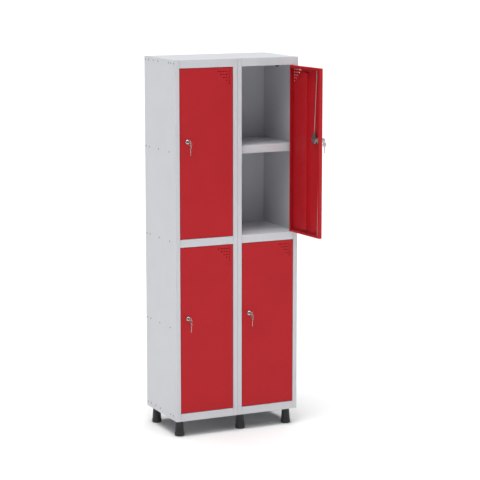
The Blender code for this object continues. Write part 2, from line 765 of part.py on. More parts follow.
def key_ring_mesh():
    """The ring and the spare key that hangs on it, about the axis through the key's hole."""
    path = []
    for step in range(24):
        angle = 2 * math.pi * step / 24
        x = RING_RADIUS * math.cos(angle)
        path.append(Vector((x, 0.0, RING_RADIUS * (math.sin(angle) - 1))))
    ring = tube_mesh(path, RING_WIRE_RADIUS, closed=True, steps=8)
    half_x = KEY_THICKNESS / 2
    centre = -2 * RING_RADIUS - SPARE_BOW_DROP
    bow = prism_mesh(circle_outline(SPARE_BOW_RADIUS, (0.0, centre)), -half_x, half_x, (1, 2, 0))
    wide = SPARE_BLADE_WIDTH / 2
    tip = SPARE_TIP_WIDTH / 2
    outline = [(-wide, centre), (-tip, -SPARE_DROP), (tip, -SPARE_DROP), (wide, centre)]
    blade = prism_mesh(outline, -half_x, half_x, (1, 2, 0))
    return combined(combined(bow, "UNION", [blade]), "UNION", [ring])


def slot_span():
    """How far from the lock's axis a rod's slot runs, sideways."""
    play = CAM_PIN_RADIUS + SLOT_PLAY
    return SLOT_SHIFT - play, CAM_PIN_ORBIT + play


def rod_slot(side):
    """Cutter for the slot that a cam pin works in. side is 1 for the upper rod and -1 for the lower."""
    near, far = slot_span()
    play = CAM_PIN_RADIUS + SLOT_PLAY
    x = sorted((side * near, side * far))
    z = -side * SLOT_SHIFT
    y = (SKIN_Y + ROD_FRONT - PAST, SKIN_Y + ROD_FRONT + ROD_THICKNESS + PAST)
    return box_mesh((x[0], y[0], z - play), (x[1], y[1], z + play))


def rod_mesh(outline, side):
    front = SKIN_Y + ROD_FRONT
    rod = prism_mesh(outline, front, front + ROD_THICKNESS, (0, 2, 1))
    return combined(rod, "DIFFERENCE", [rod_slot(side)])


def upper_rod_mesh():
    """The upper rod, about the lock's axis; its plate holds the slot of the cam's upper pin."""
    top = LOCK_BELOW_TOP - ROD_INSIDE_DOOR
    half = ROD_WIDTH / 2
    edge = slot_span()[0] - ROD_PLATE_WALL
    apex_x, apex_z = UPPER_PLATE_APEX
    offset = UPPER_ROD_OFFSET
    outline = [
        (offset - half, top),
        (offset - half, top - ROD_STRAIGHT),
        (apex_x - half, apex_z),
        (edge, UPPER_PLATE_EDGE),
        (edge, -UPPER_PLATE_DROP),
        (slot_span()[1] + ROD_WIDTH, -UPPER_PLATE_DROP),
        (UPPER_PLATE_REACH, 0.0),
        (UPPER_PLATE_REACH, UPPER_PLATE_EDGE),
        (apex_x + half, apex_z),
        (offset + half, top - ROD_STRAIGHT),
        (offset + half, top),
    ]
    return rod_mesh(outline, 1)


def lower_rod_mesh(height):
    """The lower rod, about the lock's axis."""
    bottom = -(height - LOCK_BELOW_TOP) + ROD_INSIDE_DOOR
    half = ROD_WIDTH / 2
    edge = -(slot_span()[0] - ROD_PLATE_WALL)
    far = -(slot_span()[1] + ROD_PLATE_WALL)
    neck_x, neck_z = LOWER_PLATE_NECK
    offset = LOWER_ROD_OFFSET
    outline = [
        (far, LOWER_PLATE_REACH),
        (edge, LOWER_PLATE_REACH),
        (edge, SLOT_SHIFT / 3),
        (neck_x + half, neck_z),
        (offset + half, bottom + ROD_STRAIGHT),
        (offset + half, bottom),
        (offset - half, bottom),
        (offset - half, bottom + ROD_STRAIGHT),
        (neck_x - half, neck_z),
        (far, SLOT_SHIFT / 3),
    ]
    return rod_mesh(outline, -1)


def make_door(column, row, root, x, materials):
    """A door with all that it carries, under an empty on its hinge axis."""
    names = (COLUMN_NAMES[column], ROW_NAMES[row])
    label = "_".join(names)
    height = OPENING_TOPS[row] - OPENING_BOTTOMS[row] - 2 * DOOR_GAP
    turn = math.radians(OPEN_DOOR_DEGREES) if names == OPEN_DOOR else 0.0
    hinge_place = (x + HINGE_X, HINGE_DEPTH, OPENING_BOTTOMS[row] + DOOR_GAP)
    hinge = new_empty(f"{label}_hinge_axis", hinge_place, root, turn)
    lock_place = (LOCK_X, SKIN_Y, height - LOCK_BELOW_TOP)
    rod_place = (LOCK_X, 0.0, height - LOCK_BELOW_TOP)
    new_part(f"{label}_door_pan", door_pan_mesh(height), materials["red_paint"], hinge)
    new_part(f"{label}_door_stiffener", stiffener_mesh(height), materials["red_paint"], hinge)
    new_part(f"{label}_lock_cylinder", lock_cylinder_mesh(), materials["chrome"], hinge, lock_place)
    new_part(f"{label}_upper_rod", upper_rod_mesh(), materials["zinc_steel"], hinge, rod_place)
    new_part(f"{label}_lower_rod", lower_rod_mesh(height), materials["zinc_steel"], hinge, rod_place)
    lock = new_empty(f"{label}_lock_axis", lock_place, hinge)
    new_part(f"{label}_lock_rotor", lock_rotor_mesh(), materials["zinc_steel"], lock)
    new_part(f"{label}_key", key_mesh(), materials["nickel_brass"], lock)
    ring_place = (0.0, -KEY_BOW_CENTRE - KEY_HOLE_OFFSET, 0.0)
    new_part(f"{label}_key_ring", key_ring_mesh(), materials["nickel_brass"], lock, ring_place)


def make_module(column, root, materials):
    x = column * MODULE_STEP
    grey = materials["grey_paint"]
    make_side_panels(column, root, x, grey)
    make_back_panel(column, root, x, grey)
    make_top_panel(column, root, x, grey)
    make_middle_floor(column, root, x, grey)
    make_base(column, root, x, grey)
    for row in range(len(ROW_NAMES)):
        make_shelf(column, row, root, x, grey)
        make_hook(column, row, root, x, materials["black_plastic"])
        make_door(column, row, root, x, materials)


def main():
    clear_scene()
    materials = make_materials()
    root = new_empty("cabinet_body", (-FOOT_INSET_LEFT, -FOOT_INSET_FRONT, FOOT_HEIGHT))
    for column in range(MODULES):
        make_module(column, root, materials)
    make_feet(root, materials["black_plastic"])
    make_joining_bolts(root, materials["zinc_steel"])


main()
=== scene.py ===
"""Looks of the locker cabinet: finishes, folded sheets, feet, locks, keys, rods, light and camera."""

import json
import math

import bmesh
import bpy
from mathutils import Matrix, Vector


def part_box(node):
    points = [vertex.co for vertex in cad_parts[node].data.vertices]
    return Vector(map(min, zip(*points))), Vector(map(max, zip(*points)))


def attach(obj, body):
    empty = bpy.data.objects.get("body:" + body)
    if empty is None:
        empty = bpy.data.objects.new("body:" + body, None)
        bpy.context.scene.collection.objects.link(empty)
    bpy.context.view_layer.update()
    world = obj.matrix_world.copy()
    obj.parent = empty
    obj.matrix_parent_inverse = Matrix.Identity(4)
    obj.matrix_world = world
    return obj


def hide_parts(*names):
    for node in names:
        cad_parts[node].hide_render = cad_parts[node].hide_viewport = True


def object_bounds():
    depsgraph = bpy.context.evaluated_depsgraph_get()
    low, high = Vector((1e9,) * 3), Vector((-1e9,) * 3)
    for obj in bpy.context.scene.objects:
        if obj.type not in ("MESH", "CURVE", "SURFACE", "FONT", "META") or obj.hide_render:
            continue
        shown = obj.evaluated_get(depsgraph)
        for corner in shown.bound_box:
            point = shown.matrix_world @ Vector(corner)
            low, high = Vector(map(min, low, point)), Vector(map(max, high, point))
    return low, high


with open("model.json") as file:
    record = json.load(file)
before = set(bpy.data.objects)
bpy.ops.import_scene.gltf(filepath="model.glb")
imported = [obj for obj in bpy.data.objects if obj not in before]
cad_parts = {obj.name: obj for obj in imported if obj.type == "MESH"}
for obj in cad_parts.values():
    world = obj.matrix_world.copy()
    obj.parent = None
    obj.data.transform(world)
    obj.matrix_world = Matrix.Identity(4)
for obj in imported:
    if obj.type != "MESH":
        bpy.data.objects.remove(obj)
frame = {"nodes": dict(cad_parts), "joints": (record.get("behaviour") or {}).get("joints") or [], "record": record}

CAD_BOX = [list(corner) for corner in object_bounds()]
NODES = frame["nodes"]
JOINTS = {joint["name"]: joint for joint in frame["joints"]}
DOORS = ("left_lower", "left_upper", "right_lower", "right_upper")
CLOSED_DOOR = "left_lower"

# Sheet metal
SHEET = 0.0009
BEND_RADIUS = 0.002
BEND_STEPS = 6
EDGE_BREAK = 0.00025
EDGE_BREAK_ABOVE = 50

# Inner shelves
SHELF_LIP_RETURN = 0.012
SHELF_FLANGE = 0.025
SHELF_FLANGE_INSET = 0.004

# Rivets along the outer side walls, as distances from the front face
RIVET_RADIUS = 0.0048
RIVET_HEIGHT = 0.0006
RIVET_STEPS = 4
RIVET_DEPTHS = (0.080, 0.217, 0.338, 0.380)
TOP_RIVET_DEPTHS = (0.015, 0.052, 0.278)
BASE_RIVET_DEPTHS = (0.044, 0.280)
RIVET_BELOW_SHEET = 0.016

# Feet: the ring, its ribs, then (radius, height above the ring) and (radius, depth below the top)
FOOT_SEGMENTS = 64
FOOT_RING_HEIGHT = 0.019
FOOT_LOWER_EDGE = 0.004
FOOT_UPPER_EDGE = 0.002
FOOT_EDGE_STEPS = 6
FOOT_RIBS = 24
RIB_DEPTH = 0.0006
RIB_SHARE = 0.7
RIB_WALL_INSET = 0.0005
RIB_TOP_INSET = 0.001
FOOT_SHOULDER = ((0.0238, 0.0), (0.0232, 0.0012))
FOOT_NECK = ((0.0196, 0.009), (0.0196, 0.0065), (0.0192, 0.006), (0.0192, 0.0))

# Garment hooks. The fillet is (distance out from the wire, depth below the flange)
HOOK_WIRE_RADIUS = 0.004
HOOK_PLATE_RADIUS = 0.012
HOOK_PLATE_THICKNESS = 0.003
HOOK_PLATE_EDGE = 0.0008
HOOK_FILLET = ((0.0, 0.006), (0.001, 0.003), (0.003, 0.0))
HOOK_TIP_RISE = 0.010
HOOK_STEPS = 20
HOOK_SEGMENTS = 20
HOOK_BALL_STEPS = 12
HOOK_FLANGE_SEGMENTS = 40

# Lock, keys and rods, in the frame of a closed door's lock axis with Y from the door's outer face
SKIN_TO_LOCK_FACE = 0.0040
BEZEL_RADIUS = 0.011
PLUG_RADIUS = 0.0057
PLUG_FACE_THICKNESS = 0.0005
PLUG_FACE_EDGE = 0.0001
PLUG_FACE_INSET = 0.0003
NUT_RADIUS = 0.0125
NUT_FRONT = 0.0012
NUT_BACK = 0.0050
NUT_EDGE = 0.0004
BARREL_RADIUS = 0.0082
BARREL_PLAY = 0.0001
KEY_THICKNESS = 0.002
KEY_EDGE = 0.0003
KEY_PLAY = 0.0003
KEY_BOW_CENTRE = -0.030
KEY_BOW_RADIUS = 0.012
KEY_BOW_STEPS = 40
KEY_HOLE = -0.037
KEY_HOLE_RADIUS = 0.0014
KEY_HOLE_SEGMENTS = 20
KEY_NECK = 0.004
KEY_SHOULDER = 0.002
KEY_TIP = 0.0015
KEY_END = 0.007
CUT_SHARE = 0.25
RING_RADIUS = 0.008
RING_WIRE = 0.0007
RING_STEPS = 40
RING_TURN_OFFSET = 0.55
RING_TURN_RADIUS = 0.6
SPARE_BOW_RADIUS = 0.011
SPARE_BOW_DROP = 0.0065
SPARE_HOLE_DROP = 0.4
SPARE_DROP = 0.0645
SPARE_BLADE = 0.0036
SPARE_CUTS = 5
PIN_ORBIT = 0.014
PIN_ORBIT_SIDE = 0.0099
PIN_PLAY = 0.0026

# Rods, each from a straight end in the door's edge to its cam plate, as (x, z) from the lock's axis
ROD_RADIUS = 0.0017
ROD_DEPTH = 0.011
ROD_STRAIGHT = 0.040
UPPER_ROD_START = (0.020, 0.038)
LOWER_ROD_START = (-0.022, -0.012)
LOWER_ROD_SIDE = -0.015
ROD_PLATE = 0.0024
ROD_PLATE_EDGE = 0.0003
UPPER_PLATE = (
    (0.0165, 0.046), (0.0235, 0.046), (0.049, 0.004), (0.047, -0.001), (0.024, -0.0155),
    (0.0060, -0.0155), (0.0060, 0.008),
)
LOWER_PLATE = (
    (-0.0182, 0.0155), (-0.0060, 0.0155), (-0.0060, 0.0035), (-0.0190, -0.020),
    (-0.0250, -0.020), (-0.0182, 0.0035),
)
GUIDE_RADIUS = 0.0055
GUIDE_HEIGHT = 0.009
GUIDE_EDGE = 0.0006
GUIDE_PLAY = 0.0006
GUIDE_GAP = 0.0014

# Door pans
DOOR_THICKNESS = 0.018
DOOR_LIP = 0.012
PIN_RADIUS = 0.002
PIN_LENGTH = 0.008
PIN_CHAMFER = 0.0006
PIN_SEGMENTS = 24
COLLAR_RADIUS = 0.004
COLLAR_HEIGHT = 0.0017
HINGE_INSET = 0.005
HOLE_RADIUS = 0.003
HOLE_PITCH = 0.015
HOLE_ROWS = 5
HOLE_INSET = 0.020
HOLE_SEGMENTS = 24
LOCK_HOLE_SEGMENTS = 48
ROD_SLOT = (0.0088, 0.0038)
CUT_PAST = 0.002

# Spot welds on the stiffener flanges. The shoulder is a share of the radius and of the height
WELD_RADIUS = 0.0022
WELD_HEIGHT = 0.00018
WELD_ROOT = 0.0004
WELD_SHOULDER = (0.7, 0.8)
WELD_PITCH = 0.100
WELD_END = 0.012
FLANGE_MIDDLE = 0.0206
FLANGE_FACE = 0.0021

# Points nearer than this become one, in a plate and after Booleans
PLATE_MERGE = 1e-6
BOOLEAN_MERGE = 2e-6

# Finishes
NOISE_RANGE = (0.3, 0.7)
SPECKLE_SHADE = 0.93
SPECKLE_SHARE = 0.8
BUMP_STRENGTH = 0.6

# Camera, sky and floor
CAMERA_PLACE = (-3.6941, -8.4941, 2.5676)
CAMERA_TURN = (math.radians(90 - 9.462), 0.0, math.radians(-25.443))
CAMERA_LENS = 138.42
CAMERA_SENSOR = 36.0
SKY_STRENGTH = 0.12
HORIZON_STRENGTH = 1.0
HORIZON_BAND = (0.07, 0.16)
FLOOR_SHADE = 0.80
FLOOR_ROUGHNESS = 0.9
FLOOR_HALF_WIDTH = 150.0

# Suns: height and side of each in degrees (side 0 is the front, 90 the left), strength and width
SUNS = {
    "key_light": (60, 45, 1.28, 45),
    "front_light": (60, 0, 0.25, 45),
    "overhead_light": (90, 0, 3.05, 45),
}


# ---------------------------------------------------------------- materials

def link(tree, source, output, target, socket):
    tree.links.new(source.outputs[output], target.inputs[socket])


def noise(tree, coordinates, scale, detail):
    node = tree.nodes.new("ShaderNodeTexNoise")
    node.inputs["Scale"].default_value = scale
    node.inputs["Detail"].default_value = detail
    link(tree, coordinates, "Object", node, "Vector")
    return node


def spread(tree, source, low, high):
    """Maps a noise between two values."""
    node = tree.nodes.new("ShaderNodeMapRange")
    node.inputs["From Min"].default_value = NOISE_RANGE[0]
    node.inputs["From Max"].default_value = NOISE_RANGE[1]
    node.inputs["To Min"].default_value = low
    node.inputs["To Max"].default_value = high
    tree.links.new(source, node.inputs["Value"])
    return node


def shaded(colour, share):
    return tuple(channel * share for channel in colour) + (1.0,)


def surface(name, colour, metallic, rough, grain, depth, patches=9.0, tint=0.05, specular=0.5):
    """A finish with broad patches of tone, fine mottling, varied roughness and a fine bump.

    rough is (low, high), grain the fine noise's scale per metre and depth its height in metres.
    patches is the broad noise's scale per metre, and tint how far its tone goes each way.
    """
    material = bpy.data.materials.new(name)
    material.use_nodes = True
    tree = material.node_tree
    shader = tree.nodes["Principled BSDF"]
    shader.inputs["Metallic"].default_value = metallic
    shader.inputs["Specular IOR Level"].default_value = specular
    coordinates = tree.nodes.new("ShaderNodeTexCoord")

    broad = noise(tree, coordinates, patches, 4.0)
    fine = noise(tree, coordinates, grain / 3, 2.0)
    tone = tree.nodes.new("ShaderNodeMix")
    tone.data_type = "RGBA"
    tone.inputs["A"].default_value = shaded(colour, 1 - tint)
    tone.inputs["B"].default_value = shaded(colour, 1 + tint)
    amount = spread(tree, broad.outputs["Fac"], 0.0, 1.0)
    tree.links.new(amount.outputs["Result"], tone.inputs["Factor"])
    speckle = tree.nodes.new("ShaderNodeMix")
    speckle.data_type = "RGBA"
    speckle.blend_type = "MULTIPLY"
    speckle.inputs["B"].default_value = (SPECKLE_SHADE, SPECKLE_SHADE, SPECKLE_SHADE, 1.0)
    tree.links.new(tone.outputs["Result"], speckle.inputs["A"])
    share = spread(tree, fine.outputs["Fac"], 0.0, SPECKLE_SHARE)
    tree.links.new(share.outputs["Result"], speckle.inputs["Factor"])
    tree.links.new(speckle.outputs["Result"], shader.inputs["Base Color"])

    haze = noise(tree, coordinates, patches * 4, 5.0)
    roughness = spread(tree, haze.outputs["Fac"], *rough)
    tree.links.new(roughness.outputs["Result"], shader.inputs["Roughness"])

    peel = noise(tree, coordinates, grain, 2.0)
    bump = tree.nodes.new("ShaderNodeBump")
    bump.inputs["Strength"].default_value = BUMP_STRENGTH
    bump.inputs["Distance"].default_value = depth
    link(tree, peel, "Fac", bump, "Height")
    link(tree, bump, "Normal", shader, "Normal")
    return material


def make_materials():
    grey = (0.595, 0.61, 0.64)
    red = (0.46, 0.011, 0.017)
    black = (0.018, 0.019, 0.020)
    chrome = (0.50, 0.50, 0.51)
    zinc = (0.42, 0.41, 0.41)
    nickel = (0.52, 0.50, 0.47)
    dark = (0.17, 0.16, 0.16)
    # Painted shade: the rivets are darker than the grey paint that they belong to, to stand for shaded marks on
    # the side walls.
    painted_shade_rivet = (0.16, 0.165, 0.175)
    return {
        "grey_paint": surface("grey_powder_coat", grey, 0.0, (0.36, 0.48), 900, 0.00012, tint=0.015),
        "red_paint": surface(
            "red_powder_coat", red, 0.0, (0.36, 0.50), 900, 0.00014, tint=0.03, specular=0.2
        ),
        "black_plastic": surface(
            "moulded_black_plastic", black, 0.0, (0.42, 0.60), 1600, 0.00010, 30.0, 0.15
        ),
        "chrome": surface("chrome_plate", chrome, 1.0, (0.14, 0.26), 2500, 0.00001, 60.0),
        "zinc_steel": surface("zinc_plate", zinc, 0.5, (0.36, 0.52), 1400, 0.00004, 120.0, 0.14),
        "nickel_brass": surface("nickel_plate", nickel, 0.9, (0.18, 0.34), 1800, 0.00003, 90.0),
        "dark_steel": surface("dark_steel", dark, 0.6, (0.35, 0.5), 1500, 0.00004, 80.0, 0.12),
        # Painted shade: a dark finish for the side-wall rivets, standing for shaded marks.
        "rivet_painted_shade": surface("rivet_painted_shade", painted_shade_rivet, 0.2, (0.4, 0.55), 1500, 0.00005, 80.0),
    }


# ---------------------------------------------------------------- mesh helpers

def to_object(name, shape, material, smooth_below=35.0):
    """An object from a bmesh, which it frees. Edges under smooth_below degrees are smooth."""
    bmesh.ops.recalc_face_normals(shape, faces=shape.faces)
    mesh = bpy.data.meshes.new(name)
    shape.to_mesh(mesh)
    shape.free()
    mesh.materials.append(material)
    mesh.shade_smooth()
    piece = bpy.data.objects.new(name, mesh)
    bpy.context.scene.collection.objects.link(piece)
    mesh.set_sharp_from_angle(angle=math.radians(smooth_below))
    return piece


def add_prism(shape, outline, low, high, axes):
    """Adds an outline pushed through from low to high.

    axes holds the numbers of the outline's two axes and of the axis that it is pushed along.
    """
    ends = []
    for level in (low, high):
        ring = []
        for a, b in outline:
            place = [0.0, 0.0, 0.0]
            place[axes[0]] = a
            place[axes[1]] = b
            place[axes[2]] = level
            ring.append(shape.verts.new(place))
        ends.append(ring)
    shape.faces.new(ends[0][::-1])
    shape.faces.new(ends[1])
    count = len(outline)
    for i in range(count):
        j = (i + 1) % count
        shape.faces.new((ends[0][i], ends[0][j], ends[1][j], ends[1][i]))


def bent_outline(corners):
    """The outline of a bent sheet, from the corners of its middle line."""
    middle_radius = BEND_RADIUS - SHEET / 2
    line = [(Vector(corners[0]), (Vector(corners[1]) - Vector(corners[0])).normalized())]
    for before, corner, after in zip(corners, corners[1:], corners[2:]):
        ahead = (Vector(corner) - Vector(before)).normalized()
        onward = (Vector(after) - Vector(corner)).normalized()
        turn = math.atan2(ahead.x * onward.y - ahead.y * onward.x, ahead.dot(onward))
        start = Vector(corner) - ahead * middle_radius * math.tan(abs(turn) / 2)
        side = Vector((-ahead.y, ahead.x)) * math.copysign(1.0, turn)
        centre = start + side * middle_radius
        for step in range(BEND_STEPS + 1):
            bend = Matrix.Rotation(turn * step / BEND_STEPS, 2)
            line.append((centre + bend @ (start - centre), bend @ ahead))
    line.append((Vector(corners[-1]), (Vector(corners[-1]) - Vector(corners[-2])).normalized()))
    sides = []
    for sign in (1, -1):
        sides.append([tuple(p + Vector((-d.y, d.x)) * sign * SHEET / 2) for p, d in line])
    return sides[0] + sides[1][::-1]


def circle(radius, centre=(0.0, 0.0), steps=32):
    turns = [2 * math.pi * i / steps for i in range(steps)]
    return [(centre[0] + radius * math.cos(t), centre[1] + radius * math.sin(t)) for t in turns]


def add_turned(shape, profile, steps=32, ripple=None):
    """Adds a closed (radius, height) profile turned about Z. ripple changes a radius by its angle."""
    rings = []
    for radius, height in profile:
        if radius == 0.0:
            rings.append([shape.verts.new((0.0, 0.0, height))] * steps)
            continue
        ring = []
        for i in range(steps):
            turn = 2 * math.pi * i / steps
            reach = radius + (ripple(radius, height, i) if ripple else 0.0)
            ring.append(shape.verts.new((reach * math.cos(turn), reach * math.sin(turn), height)))
        rings.append(ring)
    for first, second in zip(rings, rings[1:] + rings[:1]):
        for i in range(steps):
            j = (i + 1) % steps
            corners = []
            for corner in (first[i], first[j], second[j], second[i]):
                if corner not in corners:
                    corners.append(corner)
            if len(corners) > 2:
                shape.faces.new(corners)


def add_tube(shape, path, radius, closed=False, steps=12):
    """Adds a round wire along a path in a plane of constant Y."""
    rings = []
    count = len(path)
    for i, place in enumerate(path):
        before = path[i - 1] if closed or i else place
        after = path[(i + 1) % count] if closed or i < count - 1 else place
        ahead = (Vector(after) - Vector(before)).normalized()
        side = Vector((-ahead.z, 0.0, ahead.x))
        ring = []
        for x, y in circle(radius, steps=steps):
            ring.append(shape.verts.new(Vector(place) + side * x + Vector((0.0, y, 0.0))))
        rings.append(ring)
    pairs = list(zip(rings, rings[1:]))
    if closed:
        pairs.append((rings[-1], rings[0]))
    else:
        shape.faces.new(rings[0])
        shape.faces.new(rings[-1])
    for first, second in pairs:
        for i in range(steps):
            j = (i + 1) % steps
            shape.faces.new((first[i], first[j], second[j], second[i]))


def flat_piece(name, loops, thickness, edge, material):
    """A plate cut from loops of (x, y) points, inner loops being holes, with broken edges."""
    curve = bpy.data.curves.new(name, "CURVE")
    curve.dimensions = "2D"
    curve.fill_mode = "BOTH"
    curve.extrude = thickness / 2 - edge
    curve.bevel_depth = edge
    curve.bevel_resolution = 1
    curve.offset = -edge
    for loop in loops:
        spline = curve.splines.new("POLY")
        spline.points.add(len(loop) - 1)
        for point, (x, y) in zip(spline.points, loop):
            point.co = (x, y, 0.0, 1.0)
        spline.use_cyclic_u = True
    source = bpy.data.objects.new(name + "_outline", curve)
    bpy.context.scene.collection.objects.link(source)
    graph = bpy.context.evaluated_depsgraph_get()
    shape = bmesh.new()
    shape.from_mesh(bpy.data.meshes.new_from_object(source.evaluated_get(graph)))
    bpy.data.objects.remove(source, do_unlink=True)
    bmesh.ops.remove_doubles(shape, verts=shape.verts, dist=PLATE_MERGE)
    return to_object(name, shape, material)


def place(piece, matrix):
    piece.data.transform(matrix)
    return piece


def join(pieces):
    """One object from several, keeping the first one's name and material."""
    shape = bmesh.new()
    for piece in pieces:
        shape.from_mesh(piece.data)
    shape.to_mesh(pieces[0].data)
    shape.free()
    for piece in pieces[1:]:
        bpy.data.objects.remove(piece, do_unlink=True)
    return pieces[0]


def put(piece, body, slot, *replaced):
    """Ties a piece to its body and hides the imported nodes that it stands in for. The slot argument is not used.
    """
    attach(piece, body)
    if replaced:
        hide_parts(*replaced)


# ---------------------------------------------------------------- places

def lock_matrix(door):
    """From the lock's frame (on its axis, X towards the hinge, Y into the door) to the row frame."""
    joint = JOINTS[f"{door}_lock_turn"]
    inward = -Vector(joint["axis"])
    hingeward = inward.cross(Vector((0.0, 0.0, 1.0)))
    turn = Matrix((hingeward, inward, Vector((0.0, 0.0, 1.0)))).transposed()
    return Matrix.Translation(Vector(joint["pos_m"])) @ turn.to_4x4()


def door_heights(door):
    """The door's lower and upper edges, from its pan's box less the hinge pins."""
    low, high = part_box(f"{door}_door_pan")
    return low.z + PIN_LENGTH, high.z - PIN_LENGTH


def hinge_matrix(door):
    """From the hinge's frame (at the door's lower edge, axes as the lock's) to the row frame."""
    turn = lock_matrix(door).to_3x3().to_4x4()
    hinge = Vector(JOINTS[f"{door}_door_swing"]["pos_m"])
    hinge.z = door_heights(door)[0]
    return Matrix.Translation(hinge) @ turn


# ---------------------------------------------------------------- pieces

def dress_cad_nodes(materials):
    """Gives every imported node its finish, and breaks the sharp edges of the folded trays."""
    slots = {part["node"]: part["material_slot"] for part in frame["record"]["subparts"]}
    for name, node in NODES.items():
        node.data.materials.clear()
        node.data.materials.append(materials[slots[name]])
        if name.endswith(("top_panel", "middle_floor", "base")):
            bevel = node.modifiers.new("edge_break", "BEVEL")
            bevel.width = EDGE_BREAK
            bevel.segments = 2
            bevel.limit_method = "ANGLE"
            bevel.angle_limit = math.radians(EDGE_BREAK_ABOVE)


def make_shelf(door, materials):
    """An inner shelf folded from one sheet, with rounded bends at its lip."""
    node = f"{door}_inner_shelf"
    low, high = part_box(node)
    half = SHEET / 2
    corners = (
        (low.y + SHELF_LIP_RETURN, low.z + half),
        (low.y + half, low.z + half),
        (low.y + half, high.z - half),
        (high.y - half, high.z - half),
        (high.y - half, high.z - SHELF_FLANGE),
    )
    shape = bmesh.new()
    add_prism(shape, bent_outline(corners), low.x, high.x, (1, 2, 0))
    for x in (low.x, high.x - SHEET):
        outline = [
            (low.y + SHELF_FLANGE_INSET, high.z - SHELF_FLANGE),
            (high.y - SHELF_FLANGE_INSET, high.z - SHELF_FLANGE),
            (high.y - SHELF_FLANGE_INSET, high.z - half),
            (low.y + SHELF_FLANGE_INSET, high.z - half),
        ]
        add_prism(shape, outline, x, x + SHEET, (1, 2, 0))
    shelf = to_object(f"{door}_folded_shelf", shape, materials["grey_paint"])
    put(shelf, "cabinet", "grey_paint", node)


def make_foot(node, materials):
    """A moulded foot: a ribbed base ring with rounded edges under a tapered neck with a collar."""
    low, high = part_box(node)
    centre = (low + high) / 2
    ring = (high.x - low.x) / 2
    bottom = low.z
    ring_top = bottom + FOOT_RING_HEIGHT
    top = high.z
    profile = [(0.0, bottom), (ring - FOOT_LOWER_EDGE, bottom)]
    for step in range(1, FOOT_EDGE_STEPS + 1):
        turn = math.pi / 2 * step / FOOT_EDGE_STEPS
        out = ring - FOOT_LOWER_EDGE + FOOT_LOWER_EDGE * math.sin(turn)
        profile.append((out, bottom + FOOT_LOWER_EDGE - FOOT_LOWER_EDGE * math.cos(turn)))
    for step in range(FOOT_EDGE_STEPS + 1):
        turn = math.pi / 2 * step / FOOT_EDGE_STEPS
        out = ring - FOOT_UPPER_EDGE + FOOT_UPPER_EDGE * math.cos(turn)
        profile.append((out, ring_top - FOOT_UPPER_EDGE + FOOT_UPPER_EDGE * math.sin(turn)))
    profile += [(radius, ring_top + above) for radius, above in FOOT_SHOULDER]
    profile += [(radius, top - below) for radius, below in FOOT_NECK]
    profile.append((0.0, top))

    def ribs(radius, height, index):
        """Sets the ring's wall back between its ribs."""
        on_wall = radius > ring - RIB_WALL_INSET
        on_wall = on_wall and bottom + FOOT_LOWER_EDGE < height < ring_top - RIB_TOP_INSET
        in_groove = index * FOOT_RIBS % FOOT_SEGMENTS >= FOOT_SEGMENTS * RIB_SHARE
        return -RIB_DEPTH if on_wall and in_groove else 0.0

    shape = bmesh.new()
    add_turned(shape, profile, FOOT_SEGMENTS, ribs)
    foot = to_object(f"{node}_moulded", shape, materials["black_plastic"], 40.0)
    place(foot, Matrix.Translation((centre.x, centre.y, 0.0)))
    put(foot, "cabinet", "black_plastic", node)


def rounded_box(low, high, radius):
    shape = bmesh.new()
    size = Vector(high) - Vector(low)
    middle = (Vector(high) + Vector(low)) / 2
    matrix = Matrix.Translation(middle) @ Matrix.Diagonal((*size, 1.0))
    bmesh.ops.create_cube(shape, size=1.0, matrix=matrix)
    if radius:
        edges = shape.edges[:]
        bmesh.ops.bevel(
            shape, geom=edges, offset=radius, segments=BEND_STEPS, profile=0.5, affect="EDGES"
        )
    return shape


def combined(name, base, steps, material):
    """A piece made by Booleans: base is a bmesh, steps a list of (operation, bmesh)."""
    body = to_object(name, base, material)
    tools = []
    for operation, shape in steps:
        tool = to_object(name + "_tool", shape, material)
        modifier = body.modifiers.new("combine", "BOOLEAN")
        modifier.operation = operation
        modifier.object = tool
        tools.append(tool)
    graph = bpy.context.evaluated_depsgraph_get()
    shape = bmesh.new()
    shape.from_mesh(bpy.data.meshes.new_from_object(body.evaluated_get(graph)))
    for old in [body, *tools]:
        bpy.data.objects.remove(old, do_unlink=True)
    bmesh.ops.remove_doubles(shape, verts=shape.verts, dist=BOOLEAN_MERGE)
    piece = to_object(name, shape, material)
    smooth = piece.modifiers.new("flat_faces_stay_flat", "WEIGHTED_NORMAL")
    smooth.keep_sharp = True
    return piece


def skin_holes(height, lock_x, lock_z):
    """The vent holes, in rows that shorten by one, and the lock's hole."""
    outlines = [circle(BARREL_RADIUS + BARREL_PLAY, (lock_x, lock_z), LOCK_HOLE_SEGMENTS)]
    for row in range(HOLE_ROWS):
        z = height - HOLE_INSET - row * HOLE_PITCH
        for column in range(HOLE_ROWS - row):
            x = HINGE_INSET - HOLE_INSET - column * HOLE_PITCH
            outlines.append(circle(HOLE_RADIUS, (x, z), HOLE_SEGMENTS))
    shape = bmesh.new()
    for outline in outlines:
        add_prism(shape, outline, -HINGE_INSET - CUT_PAST, -HINGE_INSET + CUT_PAST, (0, 2, 1))
    return shape


def rod_slots(height, lock_x):
    """The slots in the door's upper and lower edges that the rods pass through."""
    shape = bmesh.new()
    y = ROD_DEPTH - HINGE_INSET
    half_x, half_y = ROD_SLOT[0] / 2, ROD_SLOT[1] / 2
    for x, z in ((lock_x, height), (lock_x + LOWER_ROD_SIDE, 0.0)):
        outline = [
            (x - half_x, y - half_y),
            (x + half_x, y - half_y),
            (x + half_x, y + half_y),
            (x - half_x, y + half_y),
        ]
        add_prism(shape, outline, z - CUT_PAST, z + CUT_PAST, (0, 1, 2))
    return shape


